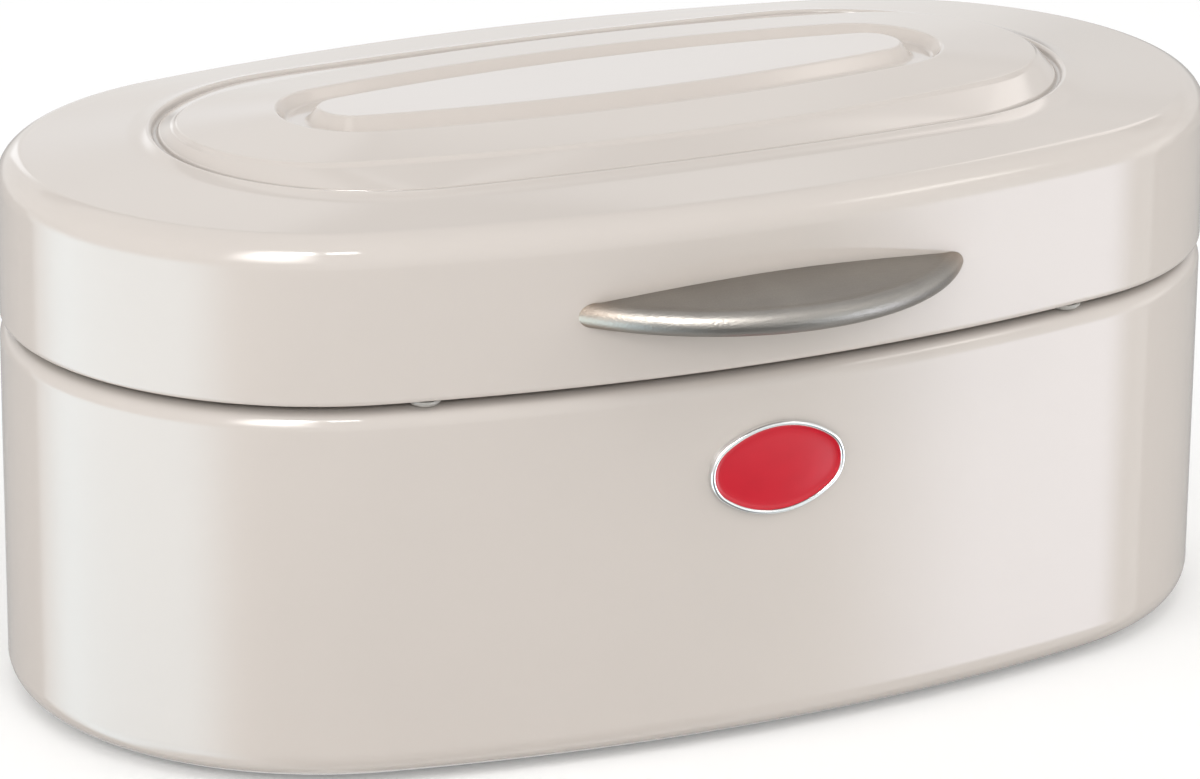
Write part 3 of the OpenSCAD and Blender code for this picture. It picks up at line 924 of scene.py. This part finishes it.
def add_world(props):
    """White to the camera and to glass; the gloss shows flags and cards in that white."""
    world = bpy.data.worlds.new("studio")
    bpy.context.scene.world = world
    t = Tree(world)
    direction = t.node("ShaderNodeTexCoord", out="Generated")
    axes = [t.node("ShaderNodeSeparateXYZ", {}, (direction,), out=axis) for axis in "XYZ"]
    level = 1.0
    for *where, share in FLAGS:
        level = level * (1.0 - (1.0 - share) * patch(axes, *where))
    studio = t.node("ShaderNodeCombineXYZ", {}, (level, level, level))
    for *where, light in CARDS:
        card = t.node(
            "ShaderNodeVectorMath", {"operation": "SCALE"},
            {0: light, "Scale": patch(axes, *where)})
        studio = t.node("ShaderNodeVectorMath", {"operation": "ADD"}, (studio, card))
    camera, glass, gloss = (
        t.node("ShaderNodeLightPath", out=f"Is {ray} Ray")
        for ray in ("Camera", "Transmission", "Glossy"))
    shown = t.node(
        "ShaderNodeBackground", {}, {"Color": t.mix(gloss, WHITE, studio), "Strength": 1.0})
    room = t.node(
        "ShaderNodeBackground", {},
        {"Color": rgba(props.world_color), "Strength": props.world_level})
    seen = camera.maths("MAXIMUM", glass).maths("MAXIMUM", gloss)
    t.finish(t.node("ShaderNodeMixShader", {}, (seen, room, shown)), "ShaderNodeOutputWorld")


def way_out(azimuth, elevation):
    """The direction from the box to a lamp or the camera."""
    return Vector((
        math.sin(azimuth) * math.cos(elevation),
        -math.cos(azimuth) * math.cos(elevation),
        math.sin(elevation),
    ))


def face_the_box(piece, azimuth, elevation, distance):
    """Sets a lamp down at a distance from the middle of the box and turns it to the box."""
    out = way_out(azimuth, elevation)
    piece.location = (CAD_BOX[0] + CAD_BOX[1]) / 2 + out * distance
    piece.rotation_mode = "QUATERNION"
    piece.rotation_quaternion = out.to_track_quat("Z", "Y")


def add_softbox(name, azimuth, elevation, distance, size, power):
    """A large soft lamp that lights the box and doesn't show in its gloss."""
    data = bpy.data.lights.new(name, "AREA")
    data.shape = "RECTANGLE"
    data.size, data.size_y = size
    data.energy = power
    lamp = add_object(name, data)
    face_the_box(lamp, math.radians(azimuth), math.radians(elevation), distance)
    lamp.visible_camera = False
    lamp.visible_glossy = False


def add_camera(props):
    """The camera, at its reach from the point that it looks at."""
    data = bpy.data.cameras.new("camera")
    data.lens = props.lens
    data.sensor_width = 36.0
    camera = add_object("camera", data)
    back = way_out(props.turn, props.tilt)
    camera.location = Vector(props.aim) + back * props.reach
    facing = (-back).to_track_quat("-Z", "Y").to_matrix().to_4x4()
    roll = Matrix.Rotation(props.roll, 4, "Z")
    camera.matrix_world = Matrix.Translation(camera.location) @ facing @ roll
    bpy.context.scene.camera = camera


# ---------- properties ----------


def hue(name, description, default):
    """A colour, as linear red, green and blue."""
    return bpy.props.FloatVectorProperty(
        name=name, description=description, subtype="COLOR", size=3, default=default,
        min=0.0, max=1.0)


def metres(name, description, default):
    """A length."""
    return bpy.props.FloatProperty(
        name=name, description=description, subtype="DISTANCE", unit="LENGTH",
        default=default, min=0.0, precision=6)


def insets(name, what, ends, sides):
    """How far in a line of the lid lies at the ends and at the sides."""
    return bpy.props.FloatVectorProperty(
        name=name, description=f"How far in {what} lies, at the ends and at the sides", size=2,
        subtype="XYZ_LENGTH", unit="LENGTH", default=(ends, sides), min=0.0, precision=5)


class BreadBoxProps(bpy.types.PropertyGroup):
    """Sizes and colours of the looks and the stage"""

    paint_color: hue("Paint", "Colour of the powder coat", (0.620, 0.567, 0.523))
    nickel_color: hue("Nickel", "Colour of the pull", (0.325, 0.308, 0.285))
    # Partly real wear and partly a painted highlight: the lighter, warmer colour of the pull's
    # tips.
    worn_and_highlight_color: hue(
        "Worn nickel", "Colour of the plating where hands have rubbed it", (0.40, 0.335, 0.28))
    zinc_color: hue("Zinc", "Colour of hinges, pins and rivets", (0.66, 0.67, 0.68))
    chrome_color: hue("Chrome", "Colour of the badge's frame", (0.82, 0.82, 0.82))
    badge_color: hue("Enamel", "Colour of the badge's inlay", (0.58, 0.007, 0.022))
    rubber_color: hue("Rubber", "Colour of the feet", (0.025, 0.025, 0.026))
    silicone_color: hue("Silicone", "Colour of the bumpers", (0.62, 0.60, 0.56))
    # Painted shade: how far from a crease the paint's colour is darkened by occlusion.
    crease_shade_reach: metres("Crease reach", "How far from a crease its dust reaches", 0.004)
    steel: metres("Steel", "Thickness of the pressed sheet", 0.001)
    bottom_radius: metres("Bottom edge", "Radius of the bottom edge of the base", 0.008)
    shoulder_radius: metres("Shoulder", "Radius of the shoulder round the mouth", 0.005)
    collar_inset: metres("Collar inset", "How far in the collar stands", 0.010)
    floor_inset: metres("Floor inset", "How far in the raised floor panel starts", 0.034)
    fold_radius: metres("Fold", "Inner radius of the floor's fold", 0.00025)
    vents: bpy.props.IntProperty(
        name="Vents", description="Number of holes in the row of rear vents", default=9, min=1)
    vent_pitch: metres("Vent pitch", "Distance between the vents", 0.011)
    vent_diameter: metres("Vent", "Diameter of a vent", 0.004)
    vent_drop: metres("Vent drop", "Distance of the vents below the top of the base", 0.043)
    lid_rim_height: metres("Lid rim", "Height of the lid's rim above its lower edge", 0.0436)
    lid_edge_radius: metres("Lid edge", "Radius of the lid's top edge", 0.008)
    lid_flange: metres("Lid flange", "Width of the flange under the lid", 0.0089)
    lid_curl: metres("Lid curl", "Radius of the lid's lower edge", 0.00175)
    bead_inset: insets("Bead", "the bead outside the groove", 0.0405, 0.0313)
    bead_rise: metres("Bead rise", "Height of the bead above the lid's rim", 0.0033)
    bead_radius: metres("Bead radius", "Radius of the top of the bead", 0.0012)
    apron_radius: metres("Apron", "Radius of the hollow outside the bead", 0.030)
    bead_drop: metres("Bead drop", "Length of the bead's steep inner side", 0.0006)
    groove_radius: metres("Groove", "Radius of the bottom of the groove", 0.0007)
    groove_rise: metres("Groove rise", "Length of the groove's steep inner side", 0.0005)
    flank_radius: metres("Flank", "Radius between the groove and the flank of the plateau", 0.0008)
    plateau_inset: insets("Plateau", "the edge of the plateau", 0.0475, 0.0462)
    plateau_rise: metres("Plateau rise", "Height of the plateau's edge above the lid's rim", 0.0065)
    plateau_radius: metres("Plateau edge", "Radius of the plateau's edge", 0.0012)
    step_radius: metres("Step", "Radius of the hollow below the plateau's edge", 0.003)
    ring_inset: insets("Ring", "the ring round the panel", 0.0730, 0.0643)
    ring_rise: metres("Ring rise", "Height of the ring's outer lip above the lid's rim", 0.00865)
    lip_radius: metres("Ring lip", "Radius of the ring's outer lip", 0.0012)
    ring_drop: metres("Ring drop", "Length of the ring's straight outer side", 0.0026)
    ring_radius: metres("Ring bend", "Radius of the bends at the bottom of the ring", 0.0015)
    panel_inset: insets("Panel", "the flat panel", 0.0849, 0.0782)
    panel_rise: metres("Panel rise", "Height of the panel above the lid's rim", 0.00935)
    panel_radius: metres("Panel edge", "Radius of the panel's edge", 0.0012)
    pull_rim: metres("Pull rim", "Thickness of the pull's rounded rim", 0.0066)
    pull_radius: metres("Pull", "Radius of the pull's front edge, seen from above", 0.0685)
    plate_under: metres(
        "Plate underside", "How far the plate's underside lies below the rim's middle", 0.0003)
    plate_slope: bpy.props.FloatProperty(
        name="Plate slope", description="Rise of the pull's plate towards the wall",
        default=0.127, min=0.0)
    boss_radius: metres("Boss", "Radius of the pull's screw bosses", 0.003)
    boss_length: metres("Boss length", "Length of the pull's screw bosses", 0.009)
    stud_radius: metres("Stud", "Radius of the badge's studs", 0.0013)
    badge_rim: metres("Badge rim", "Width of the badge's frame", 0.0013)
    gloss_roughness: bpy.props.FloatProperty(
        name="Gloss", description="Roughness of the top of the coat",
        default=0.035, min=0.0, max=1.0)
    peel_height: metres("Orange peel", "Height of the orange peel", 0.000006)
    ripple_height: metres("Ripple", "Height of the slow waves in the sheet", 0.00008)
    floor_size: metres("Floor", "Side of the floor", 30.0)
    floor_color: hue("Paper", "Colour of the floor", (0.86, 0.86, 0.855))
    floor_near: metres(
        "Floor fade start", "Distance where the floor starts to fade into the white", 0.5)
    floor_far: metres(
        "Floor fade end", "Distance where the floor is as white as the background", 1.3)
    floor_lift: bpy.props.FloatProperty(
        name="Floor lift", description="Brightness added to the floor that the camera sees",
        default=0.14, min=0.0)
    world_color: hue("Studio", "Colour of the studio's walls", (1.0, 1.0, 1.0))
    world_level: bpy.props.FloatProperty(
        name="Studio light", description="Brightness of the studio's walls", default=0.62, min=0.0)
    aim: bpy.props.FloatVectorProperty(
        name="Aim", description="Point that the camera looks at", subtype="XYZ", unit="LENGTH",
        default=(-0.00415, 0.00737, 0.06728))
    turn: bpy.props.FloatProperty(
        name="Turn", description="Azimuth of the camera",
        subtype="ANGLE", default=math.radians(-26.634))
    tilt: bpy.props.FloatProperty(
        name="Tilt", description="Elevation of the camera",
        subtype="ANGLE", default=math.radians(18.778))
    roll: bpy.props.FloatProperty(
        name="Roll", description="Roll of the camera", subtype="ANGLE", default=math.radians(0.516))
    reach: metres("Reach", "Distance from the camera to the aim", 1.53)
    lens: bpy.props.FloatProperty(
        name="Lens", description="Focal length in millimetres", default=169.66, min=10.0)


# ---------- operators ----------


class BREADBOX_OT_shells(bpy.types.Operator):
    """Coat the base, its collar and the lid"""

    bl_idname = "breadbox.shells"
    bl_label = "Coat the shells"
    bl_options = {"REGISTER", "UNDO"}

    def execute(self, context):
        props = context.scene.bread_box
        paint = paint_material(props)
        coat(("base_collar",), paint)
        shells = (("base_shell", "base", base_sheet), ("lid_shell", "lid", lid_sheet))
        for node, body, draw in shells:
            sheet, middle = draw(props)
            piece = sweep_sheet(node + "_pressing", sheet.points, props.steel, middle)
            if node == "base_shell":
                drill_vents(piece, props, middle, sheet.oval)
            piece.data.materials.append(paint)
            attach(piece, body)
            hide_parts(node)
        return {"FINISHED"}


class BREADBOX_OT_pull(bpy.types.Operator):
    """Plate the pull"""

    bl_idname = "breadbox.pull"
    bl_label = "Plate the pull"
    bl_options = {"REGISTER", "UNDO"}

    def execute(self, context):
        props = context.scene.bread_box
        piece = pull_shape(props)
        piece.data.materials.append(pull_material(props))
        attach(piece, "lid")
        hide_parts("pull")
        return {"FINISHED"}


class BREADBOX_OT_badge(bpy.types.Operator):
    """Finish the badge's frame and its inlay"""

    bl_idname = "breadbox.badge"
    bl_label = "Finish the badge"
    bl_options = {"REGISTER", "UNDO"}

    def execute(self, context):
        props = context.scene.bread_box
        bezel = badge_frame_shape(props)
        bezel.data.materials.append(chrome_material(props))
        glass = badge_glass_shape(props)
        glass.data.materials.append(enamel_material(props))
        finished = ((bezel, "badge_frame", "badge_metal"), (glass, "badge_enamel", "enamel"))
        for piece, node, slot in finished:
            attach(piece, "base")
            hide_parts(node)
        return {"FINISHED"}


class BREADBOX_OT_hinges(bpy.types.Operator):
    """Plate the hinges, pins, rivets, screws and clips"""

    bl_idname = "breadbox.hinges"
    bl_label = "Plate the hinges"
    bl_options = {"REGISTER", "UNDO"}

    def execute(self, context):
        coat(HINGE_NODES, zinc_material(context.scene.bread_box))
        return {"FINISHED"}


class BREADBOX_OT_soft(bpy.types.Operator):
    """Finish the rubber feet and the clear bumpers"""

    bl_idname = "breadbox.soft"
    bl_label = "Finish feet and bumpers"
    bl_options = {"REGISTER", "UNDO"}

    def execute(self, context):
        props = context.scene.bread_box
        coat(FEET, rubber_material(props))
        coat(BUMPERS, silicone_material(props))
        return {"FINISHED"}


class BREADBOX_OT_stage(bpy.types.Operator):
    """Set the floor, the studio, the lamps and the camera"""

    bl_idname = "breadbox.stage"
    bl_label = "Set the stage"
    bl_options = {"REGISTER", "UNDO"}

    def execute(self, context):
        props = context.scene.bread_box
        context.scene.view_settings.view_transform = "Standard"
        add_floor(props)
        add_world(props)
        for lamp in LAMPS:
            add_softbox(*lamp)
        add_camera(props)
        return {"FINISHED"}


class BREADBOX_PT_panel(bpy.types.Panel):
    """Bread box looks in the sidebar"""

    bl_label = "Bread box"
    bl_idname = "BREADBOX_PT_panel"
    bl_space_type = "VIEW_3D"
    bl_region_type = "UI"
    bl_category = "Bread box"

    def draw(self, context):
        props = context.scene.bread_box
        for name in props.__annotations__:
            self.layout.prop(props, name)
        for step in STEPS:
            self.layout.operator(step.bl_idname)


STEPS = (
    BREADBOX_OT_shells,
    BREADBOX_OT_pull,
    BREADBOX_OT_badge,
    BREADBOX_OT_hinges,
    BREADBOX_OT_soft,
    BREADBOX_OT_stage,
)
CLASSES = (BreadBoxProps, *STEPS, BREADBOX_PT_panel)


def register():
    for cls in CLASSES:
        bpy.utils.register_class(cls)
    bpy.types.Scene.bread_box = bpy.props.PointerProperty(type=BreadBoxProps)


def unregister():
    del bpy.types.Scene.bread_box
    for cls in reversed(CLASSES):
        bpy.utils.unregister_class(cls)


def main():
    register()
    bpy.ops.breadbox.shells()
    bpy.ops.breadbox.pull()
    bpy.ops.breadbox.badge()
    bpy.ops.breadbox.hinges()
    bpy.ops.breadbox.soft()
    bpy.ops.breadbox.stage()


if __name__ == "__main__":
    main()
